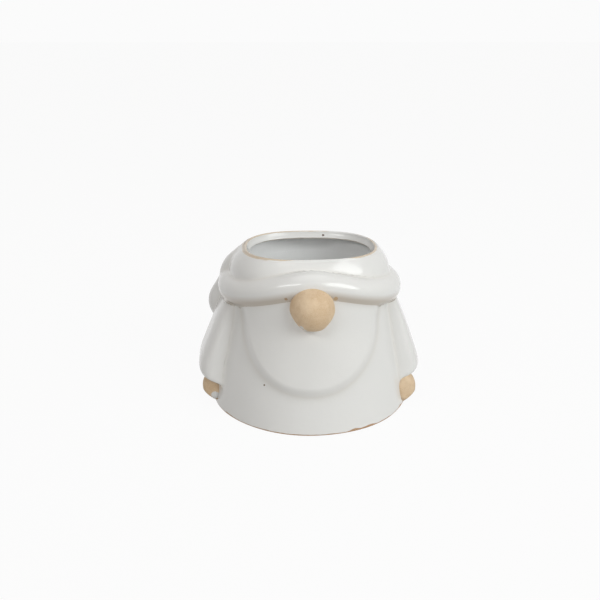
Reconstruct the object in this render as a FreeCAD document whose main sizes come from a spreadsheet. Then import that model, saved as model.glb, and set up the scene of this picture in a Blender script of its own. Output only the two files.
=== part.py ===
import FreeCAD, Part
import os
import Sketcher
from math import cos, radians, sin

# A gnome-shaped planter in glazed stoneware, free standing and open at the top.
# Origin: on the table, on the pot's upright axis. The face looks along -Y, +Z is up, millimetres.
# Ten pieces of clay, as a potter shapes and lutes them together: the robe (the vessel itself), the
# cut-off crown of the hat, its rolled brim and drooping tail, beard, nose, two sleeves, two hands.
# They meet face to face: every outer piece is trimmed to the surface of the one that carries it.
# The sheet holds every size. "Turn" is an angle in degrees round the axis, measured from the face.

SIZES = [
    # robe, the vessel: radii of its outer wall at four levels
    ("robe_foot_radius", 79.8, "outer radius where the robe stands on the table"),
    ("robe_belly_radius", 75.4, "outer radius at the belly"),
    ("robe_belly_level", 24.0, "height of the belly"),
    ("robe_chest_radius", 62.8, "outer radius just below the brim"),
    ("robe_chest_level", 76.0, "height of the chest"),
    ("robe_top_radius", 61.5, "outer radius at the seam between robe and hat"),
    ("robe_top_level", 100.5, "height of the seam, hidden behind the brim"),
    ("clay_wall", 5.0, "thickness of the vessel's wall"),
    ("floor_thick", 6.0, "thickness of the floor"),
    ("floor_round", 8.0, "radius of the corner between floor and inner wall"),
    ("foot_ring_wide", 7.0, "width of the ring that the pot stands on"),
    ("foot_recess", 2.5, "height of the hollow under the floor"),
    ("foot_round", 1.0, "radius of the outer bottom edge"),
    ("wall_round", 60.0, "radius that softens belly and chest"),
    # crown of the hat: tapers to an oval mouth that is tipped up a little at the front
    ("crown_rise", 21.0, "height of the crown above the seam"),
    ("crown_bulge", 3.8, "how far the crown's side bulges at half height"),
    ("mouth_half_wide", 51.0, "half the width of the mouth, outside"),
    ("mouth_half_deep", 47.2, "half the depth of the mouth, outside"),
    ("mouth_tilt", 1.7, "degrees that the mouth is tipped, front up"),
    ("rim_wall", 2.2, "thickness of the rim at its top"),
    ("lip_tall", 5.3, "height of the band inside the rim"),
    ("lip_lean", 2.0, "how far the band leans inwards over its height"),
    ("crown_wall", 4.6, "thickness of the crown's wall below the band"),
    # brim: a roll of clay round the hat that climbs to a peak over the nose
    ("brim_stand", 0.5, "how far the roll's centre line lies outside the seam"),
    ("brim_level", 90.5, "height of the centre line at the sides"),
    ("brim_half_tall", 10.4, "half the height of the roll"),
    ("brim_half_thick", 9.2, "half the thickness of the roll"),
    ("brim_peak_rise", 17.0, "how much higher the centre line is over the nose"),
    ("brim_peak_draw", 2.2, "how much nearer the axis it is there"),
    ("brim_peak_power", 6.2, "how narrow the peak is, 1 is widest"),
    ("brim_lean", 13.0, "degrees that the roll leans in at the sides"),
    ("brim_peak_lean", 12.0, "degrees more that it leans over the nose"),
    # tail of the hat: a drooping cone at the back left, with a waist above its lobe
    ("tail_root_inset", 19.0, "how far the root lies inside the seam's radius"),
    ("tail_root_level", 104.0, "height of the root"),
    ("tail_root_radius", 11.6, "radius at the root"),
    ("tail_root_back", 13.5, "distance of the root behind the axis"),
    ("tail_bend_inset", 5.0, "how far the bend lies inside the seam's radius"),
    ("tail_bend_level", 98.0, "height of the bend"),
    ("tail_bend_radius", 13.4, "radius at the bend"),
    ("tail_bend_back", 20.3, "distance of the bend behind the axis"),
    ("tail_waist_inset", 1.5, "how far the waist lies inside the seam's radius"),
    ("tail_waist_level", 87.0, "height of the waist"),
    ("tail_waist_radius", 12.0, "radius at the waist"),
    ("tail_waist_back", 24.3, "distance of the waist behind the axis"),
    ("tail_lobe_stand", 7.5, "how far the lobe lies outside the seam's radius"),
    ("tail_lobe_level", 70.5, "height of the lobe"),
    ("tail_lobe_radius", 13.0, "radius of the lobe"),
    ("tail_lobe_back", 27.0, "distance of lobe and tip behind the axis"),
    ("tail_end_rise", 6.5, "height of the lobe's lower end above the tip"),
    ("tail_end_radius", 10.4, "radius of the lobe's lower end"),
    ("tail_tip_level", 54.0, "height of the tip"),
    ("tail_tip_radius", 3.9, "radius of the blunt tip"),
    # beard: a U in relief on the front of the robe
    ("beard_thick", 4.2, "how far it stands off the robe"),
    ("beard_half_wide", 48.5, "half the width at the top"),
    ("beard_low_level", 29.0, "height of its lowest point"),
    ("beard_shoulder_level", 64.0, "height where its sides turn into the round end"),
    ("beard_edge_round", 2.4, "radius of its front edge"),
    # nose
    ("nose_radius", 15.2, "radius of the ball"),
    ("nose_level", 92.5, "height of its centre"),
    ("nose_stand", 19.5, "how far its front stands out from the seam's radius"),
    # sleeves: bells that widen from the shoulder to the cuff
    ("sleeve_shoulder_level", 93.0, "height of the shoulder, behind the brim"),
    ("sleeve_cuff_level", 21.0, "height of the cuff"),
    ("sleeve_shoulder_sink", 1.8, "how far the shoulder's outside lies inside the chest's radius"),
    ("sleeve_cuff_stand", 14.4, "how far the cuff's outside stands out from the belly's radius"),
    ("sleeve_shoulder_half_wide", 9.0, "half the width at the shoulder, round the robe"),
    ("sleeve_cuff_half_wide", 30.0, "half the width at the cuff, round the robe"),
    ("sleeve_shoulder_half_thick", 6.0, "half the thickness at the shoulder"),
    ("sleeve_cuff_half_thick", 15.0, "half the thickness at the cuff"),
    ("sleeve_flare_power", 0.72, "how soon the sleeve widens, 1 is an even taper"),
    ("cuff_round", 3.5, "radius of the cuff's lower edge"),
    ("sleeve_shoulder_turn", 94.0, "degrees from the face to the middle of the shoulder"),
    ("sleeve_cuff_turn", 86.0, "degrees from the face to the middle of the cuff"),
    # hands: mittens that hang below the cuffs
    ("hand_half_wide", 9.0, "half the width of a hand"),
    ("hand_half_tall", 11.8, "half its height"),
    ("hand_half_thick", 8.2, "half its thickness"),
    ("hand_stand", 1.6, "how far its centre lies outside the wall between foot and belly"),
    ("hand_level", 12.8, "height of its centre"),
    ("hand_turn", 74.0, "degrees from the face to the hand"),
]
BRIM_SECTIONS = 18    # in each half of the roll
SLEEVE_SECTIONS = 5
ON_SURFACE = 1e-4     # what lies nearer than this is taken to touch
SQUARE_TURN = 90

doc = FreeCAD.newDocument("gnome_planter")

# ---- the sheet of driving sizes ----
sheet = doc.addObject("Spreadsheet::Sheet", "sizes")
for row, (name, value, meaning) in enumerate(SIZES, start=1):
    sheet.set(f"A{row}", name)
    sheet.set(f"B{row}", str(value))
    sheet.set(f"C{row}", meaning)
    sheet.setAlias(f"B{row}", name)
doc.recompute()

RIGHTWARD = FreeCAD.Vector(1, 0, 0)
BACKWARD = FreeCAD.Vector(0, 1, 0)
UP = FreeCAD.Vector(0, 0, 1)


def size(expression):
    """The present value of an expression on the sheet."""
    return float(sheet.evalExpression(expression))


def outward(turn):
    """Unit vector away from the axis, `turn` degrees round from the face towards +X."""
    return FreeCAD.Vector(sin(radians(turn)), -cos(radians(turn)), 0)


# ---- helpers: one kind of feature each ----
def turned_body(label, corners):
    """A body turned about the upright axis from a closed outline of (radius, level) expressions."""
    body = doc.addObject("PartDesign::Body", label)
    upright = next(f for f in body.Origin.OriginFeatures if f.Role == "XZ_Plane")
    outline = body.newObject("Sketcher::SketchObject", label + "_outline")
    outline.AttachmentSupport = [(upright, "")]
    outline.MapMode = "FlatFace"
    points = [FreeCAD.Vector(size(radius), size(level), 0) for radius, level in corners]
    for start, end in zip(points, points[1:] + points[:1]):
        outline.addGeometry(Part.LineSegment(start, end))
    for line, (radius, level) in enumerate(corners):
        outline.addConstraint(Sketcher.Constraint("Coincident", line - 1 if line else len(corners) - 1,
                                                  2, line, 1))
        for kind, axis, text in (("DistanceX", -2, radius), ("DistanceY", -1, level)):
            if text == "0":
                outline.addConstraint(Sketcher.Constraint("PointOnObject", line, 1, axis))
            else:
                number = outline.addConstraint(
                    Sketcher.Constraint(kind, -1, 1, line, 1, size(text)))
                outline.setExpression(f"Constraints[{number}]", text)
    turned = body.newObject("PartDesign::Revolution", label + "_turned")
    turned.Profile = outline
    turned.ReferenceAxis = (outline, ["V_Axis"])
    turned.Angle = 360
    doc.recompute()
    return body


def round_rings(body, rings, radius):
    """Round the ring edges of a turned body that lie at the given (radius, level) expressions."""
    base = body.Tip
    places = [(size(ring_radius), size(level)) for ring_radius, level in rings]
    edges = [f"Edge{number}" for number, edge in enumerate(base.Shape.Edges, start=1)
             if edge.Curve.TypeId == "Part::GeomCircle"
             and any(abs(edge.Curve.Radius - ring) < ON_SURFACE
                     and abs(edge.Curve.Center.z - level) < ON_SURFACE for ring, level in places)]
    rounded = body.newObject("PartDesign::Fillet", body.Label + "_round")
    rounded.Base = (base, edges)
    rounded.setExpression("Radius", radius)
    doc.recompute()


def oval(label, across, along, half_across, half_along, centre):
    """An ellipse with unit vectors for its two axes, and expressions for its half sizes and centre."""
    ring = doc.addObject("Part::Ellipse", label)
    ring.setExpression("MajorRadius", f"max({half_across}; {half_along})")
    ring.setExpression("MinorRadius", f"min({half_across}; {half_along})")
    longest, other = across, along
    if size(half_along) > size(half_across):
        longest, other = along, across * -1
    ring.Placement = FreeCAD.Placement(
        FreeCAD.Vector(), FreeCAD.Rotation(longest, other, longest.cross(other), "XYZ"))
    for axis, text in zip("xyz", centre):
        ring.setExpression(f"Placement.Base.{axis}", text)
    return ring


def loft_of_ovals(label, sections):
    """A solid through ovals, each given as the arguments of `oval` after its label."""
    loft = doc.addObject("Part::Loft", label)
    loft.Sections = [oval(f"{label}_{number}", *section) for number, section in enumerate(sections)]
    loft.Solid = True
    return loft


def trimmed(label, base, carriers):
    """The piece `base`, cut back to the surfaces of the pieces that carry it."""
    for number, carrier in enumerate(carriers, start=1):
        cut = doc.addObject("Part::Cut", f"{label}_trim_{number}")
        cut.Base = base
        cut.Tool = carrier
        cut.Refine = False
        base = cut
    doc.recompute()
    base.Label = label
    return base


# ---- robe: the thrown vessel, with a floor and a recessed foot ----
WALL_OUTSIDE = [("sizes.robe_foot_radius", "0"),
                ("sizes.robe_belly_radius", "sizes.robe_belly_level"),
                ("sizes.robe_chest_radius", "sizes.robe_chest_level"),
                ("sizes.robe_top_radius", "sizes.robe_top_level")]
INNER_FLOOR = "sizes.foot_recess + sizes.floor_thick"
FLOOR_CORNER = ("sizes.robe_belly_radius - sizes.clay_wall", INNER_FLOOR)
INNER_CHEST = ("sizes.robe_chest_radius - sizes.clay_wall", "sizes.robe_chest_level")

robe_pot = turned_body("robe_pot", [("0", "sizes.foot_recess"),
                                    ("sizes.robe_foot_radius - sizes.foot_ring_wide",
                                     "sizes.foot_recess"),
                                    ("sizes.robe_foot_radius - sizes.foot_ring_wide", "0"),
                                    *WALL_OUTSIDE,
                                    ("sizes.robe_top_radius - sizes.clay_wall",
                                     "sizes.robe_top_level"),
                                    INNER_CHEST, FLOOR_CORNER, ("0", INNER_FLOOR)])
round_rings(robe_pot, WALL_OUTSIDE[1:3], "sizes.wall_round")
round_rings(robe_pot, WALL_OUTSIDE[:1], "sizes.foot_round")
round_rings(robe_pot, [FLOOR_CORNER], "sizes.floor_round")
# the robe's outside as a full form: what stands against the robe is trimmed with it
robe_form = turned_body("robe_form", [("0", "0"), *WALL_OUTSIDE, ("0", "sizes.robe_top_level")])
round_rings(robe_form, WALL_OUTSIDE[1:3], "sizes.wall_round")
round_rings(robe_form, WALL_OUTSIDE[:1], "sizes.foot_round")

# ---- crown of the hat: outside, room inside, and the leaning band inside the rim ----
RIM_LEVEL = "sizes.robe_top_level + sizes.crown_rise"


def mouth_oval(offset, below):
    """A tipped oval like the mouth's, `offset` wider all round and `below` it."""
    tipped = FreeCAD.Rotation(RIGHTWARD, -size("sizes.mouth_tilt"))
    return (RIGHTWARD, tipped.multVec(BACKWARD),
            f"sizes.mouth_half_wide + {offset}", f"sizes.mouth_half_deep + {offset}",
            ("0 mm", "0 mm", f"{RIM_LEVEL} - ({below})"))


def level_oval(half_wide, half_deep, level):
    """A level oval round the upright axis."""
    return (RIGHTWARD, BACKWARD, half_wide, half_deep, ("0 mm", "0 mm", level))


SEAM_OUTSIDE = "sizes.robe_top_radius"
SEAM_INSIDE = "sizes.robe_top_radius - sizes.clay_wall"
WAIST_LEVEL = "sizes.robe_top_level + sizes.crown_rise / 2"
WAIST = [f"(sizes.robe_top_radius + sizes.{half}) / 2 + sizes.crown_bulge"
         for half in ("mouth_half_wide", "mouth_half_deep")]
crown_form = loft_of_ovals("crown_form", [
    level_oval(SEAM_OUTSIDE, SEAM_OUTSIDE, "sizes.robe_top_level"),
    level_oval(*WAIST, WAIST_LEVEL),
    mouth_oval("0", "0")])
crown_room = loft_of_ovals("crown_room", [
    level_oval(SEAM_INSIDE, SEAM_INSIDE, "sizes.robe_top_level"),
    level_oval(*[f"{half} - sizes.crown_wall" for half in WAIST], WAIST_LEVEL),
    mouth_oval("sizes.crown_bulge - sizes.crown_wall", "sizes.lip_tall")])
mouth_room = loft_of_ovals("mouth_room", [
    mouth_oval("0 - sizes.rim_wall - sizes.lip_lean", "sizes.lip_tall"),
    mouth_oval("0 - sizes.rim_wall", "0")])
hat_crown = trimmed("hat_crown", crown_form, [crown_room, mouth_room])

# ---- brim: a roll of clay, leaning against robe and crown, laid on in two halves ----
def roll_section(turn):
    """The roll's leaning oval at one place round the hat, on the wavy centre line."""
    peak = f"((1 + cos({turn:g})) / 2) ^ sizes.brim_peak_power"
    lean = radians(size(f"sizes.brim_lean + sizes.brim_peak_lean * {peak}"))
    out = outward(turn)
    reach = f"(sizes.robe_top_radius + sizes.brim_stand - sizes.brim_peak_draw * {peak})"
    return (UP * cos(lean) - out * sin(lean), out * cos(lean) + UP * sin(lean),
            "sizes.brim_half_tall", "sizes.brim_half_thick",
            (f"sin({turn:g}) * {reach}", f"-cos({turn:g}) * {reach}",
             f"sizes.brim_level + sizes.brim_peak_rise * {peak}"))


def half_roll(label, start):
    """Half of the roll, from the face to the back or from the back to the face."""
    return loft_of_ovals(label, [roll_section(start + 2 * SQUARE_TURN * number / BRIM_SECTIONS)
                                 for number in range(BRIM_SECTIONS + 1)])


right_roll = half_roll("right_roll", 0)
left_roll = half_roll("left_roll", 2 * SQUARE_TURN)
roll = doc.addObject("Part::MultiFuse", "roll")
roll.Shapes = [left_roll, right_roll]
roll.Refine = False
hat_brim = trimmed("hat_brim", roll, [robe_form, crown_form])

# ---- tail of the hat: a bent cone of round sections that ends in a blunt point ----
LOBE_REACH = "sizes.robe_top_radius + sizes.tail_lobe_stand"
TAIL = [("sizes.robe_top_radius - sizes.tail_root_inset", "sizes.tail_root_back",
         "sizes.tail_root_level", "sizes.tail_root_radius"),
        ("sizes.robe_top_radius - sizes.tail_bend_inset", "sizes.tail_bend_back",
         "sizes.tail_bend_level", "sizes.tail_bend_radius"),
        ("sizes.robe_top_radius - sizes.tail_waist_inset", "sizes.tail_waist_back",
         "sizes.tail_waist_level", "sizes.tail_waist_radius"),
        (LOBE_REACH, "sizes.tail_lobe_back", "sizes.tail_lobe_level", "sizes.tail_lobe_radius"),
        (LOBE_REACH, "sizes.tail_lobe_back", "sizes.tail_tip_level + sizes.tail_end_rise",
         "sizes.tail_end_radius"),
        (LOBE_REACH, "sizes.tail_lobe_back", "sizes.tail_tip_level", "sizes.tail_tip_radius")]
stations = [FreeCAD.Vector(-size(reach), size(back), size(level)) for reach, back, level, _ in TAIL]
tail_sections = []
for number, (reach, back, level, radius) in enumerate(TAIL):
    before, after = stations[max(number - 1, 0)], stations[min(number + 1, len(TAIL) - 1)]
    along = (after - before).normalize()
    side = along.cross(BACKWARD).normalize()
    tail_sections.append((side, along.cross(side), radius, radius, (f"-({reach})", back, level)))
tail_cone = loft_of_ovals("tail_cone", tail_sections)

# ---- beard: the robe's outside, thickened, within a U ----
beard_skin = turned_body("beard_skin", [("0", "0")] + [
    (f"{radius} + sizes.beard_thick", level) for radius, level in WALL_OUTSIDE]
    + [("0", "sizes.robe_top_level")])
round_rings(beard_skin, [(f"{radius} + sizes.beard_thick", level)
                         for radius, level in WALL_OUTSIDE[1:3]], "sizes.wall_round")
# the U seen from the front: a rounded lower end and straight sides above it
bib_end = oval("bib_end", RIGHTWARD, UP, "sizes.beard_half_wide",
               "sizes.beard_shoulder_level - sizes.beard_low_level",
               ("0 mm", "0 mm", "sizes.beard_shoulder_level"))
bib_round = doc.addObject("Part::Extrusion", "bib_round")
bib_round.Base = bib_end
bib_round.DirMode = "Custom"
bib_round.Dir = BACKWARD * -1
bib_round.Solid = True
bib_round.setExpression("LengthFwd", "sizes.robe_foot_radius * 2")
bib_sides = doc.addObject("Part::Box", "bib_sides")
bib_sides.setExpression("Length", "sizes.beard_half_wide * 2")
bib_sides.setExpression("Width", "sizes.robe_foot_radius * 2")
bib_sides.setExpression("Height", "sizes.robe_top_level")
bib_sides.setExpression("Placement.Base.x", "-sizes.beard_half_wide")
bib_sides.setExpression("Placement.Base.y", "-sizes.robe_foot_radius * 2")
bib_sides.setExpression("Placement.Base.z", "sizes.beard_shoulder_level")
bib = doc.addObject("Part::MultiFuse", "bib")
bib.Shapes = [bib_round, bib_sides]
bib.Refine = True
beard_slab = doc.addObject("Part::MultiCommon", "beard_slab")
beard_slab.Shapes = [beard_skin, bib]
beard_slab.Refine = False
beard_raised = trimmed("beard_raised", beard_slab, [robe_form])


def edges_between(shape, first, second, below):
    """Numbers of the edges whose middle lies on both solids' surfaces, lower than `below`."""
    found = []
    for number, edge in enumerate(shape.Edges, start=1):
        middle = Part.Vertex(edge.valueAt((edge.FirstParameter + edge.LastParameter) / 2))
        gaps = [middle.distToShape(solid.Shape.Shells[0])[0] for solid in (first, second)]
        if max(gaps) < ON_SURFACE and middle.Z < below - ON_SURFACE:
            found.append(number)
    return found


beard_soft = doc.addObject("Part::Fillet", "beard_soft")
beard_soft.Base = beard_raised
beard_soft.Edges = [(number, size("sizes.beard_edge_round"), size("sizes.beard_edge_round"))
                    for number in edges_between(beard_raised.Shape, beard_skin, bib,
                                                size("sizes.robe_top_level"))]
beard = trimmed("beard", beard_soft, [left_roll, right_roll])

# ---- nose: a ball seated on the robe, tucked under the brim and into the beard ----
ball = doc.addObject("Part::Sphere", "ball")
ball.setExpression("Radius", "sizes.nose_radius")
ball.setExpression("Placement.Base.y",
                   "sizes.nose_radius - sizes.robe_top_radius - sizes.nose_stand")
ball.setExpression("Placement.Base.z", "sizes.nose_level")
nose = trimmed("nose", ball, [robe_form, crown_form, left_roll, right_roll, beard_soft])

# ---- sleeves: bells lofted from the shoulder down to the cuff, the right one mirrored ----
def along_sleeve(share, shoulder, cuff, power="1"):
    """A size of the sleeve at a share of the way from its shoulder to its cuff."""
    return f"({shoulder} + ({cuff} - ({shoulder})) * {share:g} ^ {power})"


bell_sections = []
for number in range(SLEEVE_SECTIONS):
    share = number / (SLEEVE_SECTIONS - 1)
    turn = along_sleeve(share, "sizes.sleeve_shoulder_turn", "sizes.sleeve_cuff_turn")
    half_wide = along_sleeve(share, "sizes.sleeve_shoulder_half_wide",
                             "sizes.sleeve_cuff_half_wide", "sizes.sleeve_flare_power")
    half_thick = along_sleeve(share, "sizes.sleeve_shoulder_half_thick",
                              "sizes.sleeve_cuff_half_thick")
    outside = along_sleeve(share, "sizes.robe_chest_radius - sizes.sleeve_shoulder_sink",
                           "sizes.robe_belly_radius + sizes.sleeve_cuff_stand",
                           "sizes.sleeve_flare_power")
    level = along_sleeve(share, "sizes.sleeve_shoulder_level", "sizes.sleeve_cuff_level")
    facing = outward(-size(turn))
    bell_sections.append((facing, UP.cross(facing), half_thick, half_wide,
                          (f"-sin({turn}) * ({outside} - {half_thick})",
                           f"-cos({turn}) * ({outside} - {half_thick})", level)))
left_bell = loft_of_ovals("left_bell", bell_sections)
doc.recompute()
left_cuff = doc.addObject("Part::Fillet", "left_cuff")
left_cuff.Base = left_bell
left_cuff.Edges = [(number, size("sizes.cuff_round"), size("sizes.cuff_round"))
                   for number, edge in enumerate(left_bell.Shape.Edges, start=1)
                   if edge.BoundBox.ZMax < size("sizes.sleeve_cuff_level") + ON_SURFACE]


def mirrored(label, source):
    """The same form on the other side of the face."""
    twin = doc.addObject("Part::Mirroring", label)
    twin.Source = source
    twin.Base = FreeCAD.Vector(0, 0, 0)
    twin.Normal = RIGHTWARD
    return twin


right_cuff = mirrored("right_cuff", left_cuff)
hat_tail = trimmed("hat_tail", tail_cone, [robe_form, crown_form, left_roll])
left_sleeve = trimmed("left_sleeve", left_cuff, [robe_form, left_roll, tail_cone])
right_sleeve = trimmed("right_sleeve", right_cuff, [robe_form, right_roll])

# ---- hands: egg-shaped mittens seated against the robe and in the cuffs ----
left_mitten = doc.addObject("Part::Ellipsoid", "left_mitten")
left_mitten.setExpression("Radius1", "sizes.hand_half_tall")
left_mitten.setExpression("Radius2", "sizes.hand_half_thick")
left_mitten.setExpression("Radius3", "sizes.hand_half_wide")
left_mitten.Placement = FreeCAD.Placement(
    FreeCAD.Vector(), FreeCAD.Rotation(UP, SQUARE_TURN - size("sizes.hand_turn")))
HAND_REACH = "((sizes.robe_foot_radius + sizes.robe_belly_radius) / 2 + sizes.hand_stand)"
left_mitten.setExpression("Placement.Base.x", f"-sin(sizes.hand_turn) * {HAND_REACH}")
left_mitten.setExpression("Placement.Base.y", f"-cos(sizes.hand_turn) * {HAND_REACH}")
left_mitten.setExpression("Placement.Base.z", "sizes.hand_level")
right_mitten = mirrored("right_mitten", left_mitten)
left_hand = trimmed("left_hand", left_mitten, [robe_form, left_cuff])
right_hand = trimmed("right_hand", right_mitten, [robe_form, right_cuff])

# ---- every piece is whole before anything is written ----
PIECES = [robe_pot, hat_crown, hat_brim, hat_tail, beard, nose,
          left_sleeve, right_sleeve, left_hand, right_hand]
doc.recompute()
for thing in doc.Objects:
    if "Invalid" in thing.State or "Error" in thing.State:
        raise RuntimeError(f"{thing.Label} could not be built: {thing.State}")
os.makedirs("parts", exist_ok=True)
for piece in PIECES:
    form = piece.Shape
    if form.isNull() or not form.isValid() or len(form.Solids) != 1:
        raise RuntimeError(f"{piece.Label} is not one sound solid ({len(form.Solids)} solids)")
    form.exportStep(f"parts/{piece.Label}.step")
    print(f"{piece.Label}: {form.Volume / 1000:.1f} cm3")
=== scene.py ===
# %% [markdown]
# # A gnome planter in glazed stoneware
# The object is an open pot shaped as a squat gnome: a robe that is the vessel itself, a hat cut off
# flat for the mouth, a rolled brim, a drooping hat tail, a beard, a ball nose, two sleeves and two
# hands. Everything but nose and hands carries one coat of white gloss glaze.
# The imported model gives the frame: every size starts from its boxes, so a piece made here goes
# exactly where its solid is. Shapes are worked out in millimetres and written in metres.

# %% frame
from math import radians, tan
import bpy
import numpy as np
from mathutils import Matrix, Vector


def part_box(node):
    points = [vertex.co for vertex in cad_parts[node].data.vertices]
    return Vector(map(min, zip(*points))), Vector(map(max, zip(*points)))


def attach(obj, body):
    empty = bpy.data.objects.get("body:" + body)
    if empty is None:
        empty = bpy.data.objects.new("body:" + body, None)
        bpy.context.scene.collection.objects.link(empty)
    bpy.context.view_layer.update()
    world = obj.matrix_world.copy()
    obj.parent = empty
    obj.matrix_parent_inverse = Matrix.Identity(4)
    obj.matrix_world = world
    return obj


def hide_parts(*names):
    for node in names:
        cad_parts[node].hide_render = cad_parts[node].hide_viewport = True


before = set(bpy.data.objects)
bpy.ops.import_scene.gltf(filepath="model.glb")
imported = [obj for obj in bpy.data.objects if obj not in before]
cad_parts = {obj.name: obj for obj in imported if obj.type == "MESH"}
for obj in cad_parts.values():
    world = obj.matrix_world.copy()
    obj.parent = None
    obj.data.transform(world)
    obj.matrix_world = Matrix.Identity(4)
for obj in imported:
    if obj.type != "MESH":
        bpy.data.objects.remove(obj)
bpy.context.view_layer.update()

MM = 0.001


def box_mm(node):
    """Lowest and highest corner of a node, in millimetres."""
    low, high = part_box(node)
    return np.array(low) / MM, np.array(high) / MM


# %% [markdown]
# ## Where the glaze runs: distance rules
# On the real pot the pieces are stuck on with slip, and the glaze then flows over all of them as
# one skin that fills every corner with a small soft curve. Pieces simply pushed into each other
# would show hard lines there. So each form is first written as a distance rule: a function that
# gives, for any point, how far it lies outside that form. One rule for the whole skin can then be
# worked out from them, and every piece's surface is drawn onto that skin.

# %% sizes read from the frame
robe_high = box_mm("robe_pot")[1]
crown_high = box_mm("hat_crown")[1]
cuff_low = box_mm("left_sleeve")[0]
nose_low, nose_high = box_mm("nose")

SEAM_LEVEL = robe_high[2]
SEAM_RADIUS = crown_high[0]
FOOT_RADIUS = robe_high[0] + 0.2      # the glaze stands a little proud of the clay
BELLY = (24.0, 75.4)                  # level and radius of the robe's lower bend
CHEST = (76.0, 62.8)                  # level and radius of its upper bend
CLAY_WALL = 5.0
MOUTH_LEVEL = SEAM_LEVEL + 21.2
MOUTH_TILT = tan(radians(2.1))
print(f"seam at {SEAM_LEVEL:.1f} mm, foot radius {FOOT_RADIUS:.1f} mm, seam radius {SEAM_RADIUS:.1f} mm")


# %% softened corners
def eased(distance, softness):
    """Zero before nought and the distance after it, with the bend between them softened."""
    return 0.5 * (distance + np.sqrt(distance ** 2 + softness ** 2))


def soft_greater(one, other, softness):
    """The greater of two distances, with the corner between them rounded."""
    near = np.maximum(softness - np.abs(one - other), 0.0) / softness
    return np.maximum(one, other) + 0.25 * softness * near ** 2


def from_oval(across, along, half_across, half_along, square=2.0):
    """Distance outside an oval: the oval measure minus one, divided by how fast it grows.

    A squareness of two gives an ellipse, and more gives flatter sides and tighter corners.
    """
    one, other = np.abs(across) / half_across, np.abs(along) / half_along
    measure = (one ** square + other ** square) ** (1.0 / square) + 1e-6
    growth = np.hypot((one / measure) ** (square - 1) / half_across,
                      (other / measure) ** (square - 1) / half_along)
    return (measure - 1.0) / np.maximum(growth, 0.5 / np.maximum(half_across, half_along))


def turn_of(point):
    """Angle round the axis, nought at the face and growing towards +X."""
    return np.arctan2(point[..., 0], -point[..., 1])


print(f"the greater of 2.0 and 2.0, softened by 1.0, is {soft_greater(2.0, 2.0, 1.0):.2f}")

# %% [markdown]
# ### The vessel's rule
# The robe narrows in three straight slopes, as a potter draws it up. The crown above the seam goes
# from a circle to a squarish oval and leans in. A thumb has pressed it in behind the brim's peak,
# most of all to the right of the middle, and a broad gleam sits in that hollow.

# %% rule of the vessel: robe and crown
WALL_BEND = 6.0                                     # how softly the robe's slopes meet
WALL_COSINE = 0.965                                 # of the wall's usual slope
CROWN_LEAN, CROWN_SQUARER = 15.2, 0.65              # by the time it reaches the mouth
CROWN_WIDER, CROWN_DEEPER = 4.7, 0.9
FRONT_TUCK, TUCK_TURN, TUCK_POWER = 5.6, radians(26.0), 7


def robe_radius(level):
    """Three straight slopes, foot to belly to chest to seam, joined by soft bends."""
    slope_low = (BELLY[1] - FOOT_RADIUS) / BELLY[0]
    slope_mid = (CHEST[1] - BELLY[1]) / (CHEST[0] - BELLY[0])
    slope_top = (SEAM_RADIUS - CHEST[1]) / (SEAM_LEVEL - CHEST[0])
    return (FOOT_RADIUS + slope_low * level
            + (slope_mid - slope_low) * eased(level - BELLY[0], WALL_BEND)
            + (slope_top - slope_mid) * eased(level - CHEST[0], WALL_BEND))


def mouth_level(back):
    """Height of the tipped mouth: higher at the front, lower at the back."""
    return MOUTH_LEVEL - MOUTH_TILT * back


def crown_oval(climb):
    """Half width, half depth and squareness of the crown at a share of its climb to the mouth."""
    lean = CROWN_LEAN * climb ** 2
    wide = SEAM_RADIUS + CROWN_WIDER * climb - lean
    deep = SEAM_RADIUS + CROWN_DEEPER * climb - lean
    return wide, deep, 2.0 + CROWN_SQUARER * climb


def oval_reach(turn, wide, deep, square):
    """Distance from the centre to a squarish oval: an ellipse made fuller on its four diagonals."""
    ellipse = ((np.sin(turn) / wide) ** 2 + (np.cos(turn) / deep) ** 2) ** -0.5
    return ellipse * (1.0 + (2.0 ** (0.5 - 1.0 / square) - 1.0) * np.sin(2.0 * turn) ** 2)


def crown_reach(turn, climb, inset=0.0):
    """Reach of the crown at a bearing and a share of its climb.

    The thumb's hollow is a power of a cosine round the crown times a parabola up it, which is
    nought at the seam and at the mouth.
    """
    wide, deep, square = crown_oval(climb)
    near = ((1.0 + np.cos(turn - TUCK_TURN)) / 2.0) ** TUCK_POWER
    tuck = FRONT_TUCK * near * 4.0 * climb * (1.0 - climb)
    return oval_reach(turn, wide - inset, deep - inset, square) - tuck


def from_vessel(point):
    """Distance outside the robe or, above the seam, outside the crown."""
    level = point[..., 2]
    away = np.hypot(point[..., 0], point[..., 1])
    climb = np.clip((level - SEAM_LEVEL) / (mouth_level(point[..., 1]) - SEAM_LEVEL), 0.0, 1.0)
    crown = crown_reach(turn_of(point), climb)
    return WALL_COSINE * (away - np.where(level > SEAM_LEVEL, crown, robe_radius(level)))


print("robe radius at foot, belly, chest:", [round(float(robe_radius(z)), 1) for z in (0.0, 24.0, 76.0)])

# %% [markdown]
# ### The brim's rule
# The brim is a leaning oval roll. Its centre line runs level round the back and the sides and
# swings up to a peak over the nose. A high power of a cosine is nearly nought except near the
# face, so it draws the peak without touching the rest, and a much higher one adds its small crest.

# %% rule of the brim
BRIM_HALF_TALL, BRIM_HALF_THICK = 9.8, 9.2
BRIM_OUT, BRIM_LEVEL, BRIM_LEAN = 0.5, 91.1, 13.0                 # away from the face
PEAK_IN, PEAK_RISE, PEAK_LEAN, PEAK_POWER = 2.2, 16.6, 12.0, 6.2  # what the peak adds
CREST_RISE, CREST_POWER = 1.6, 40


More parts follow.
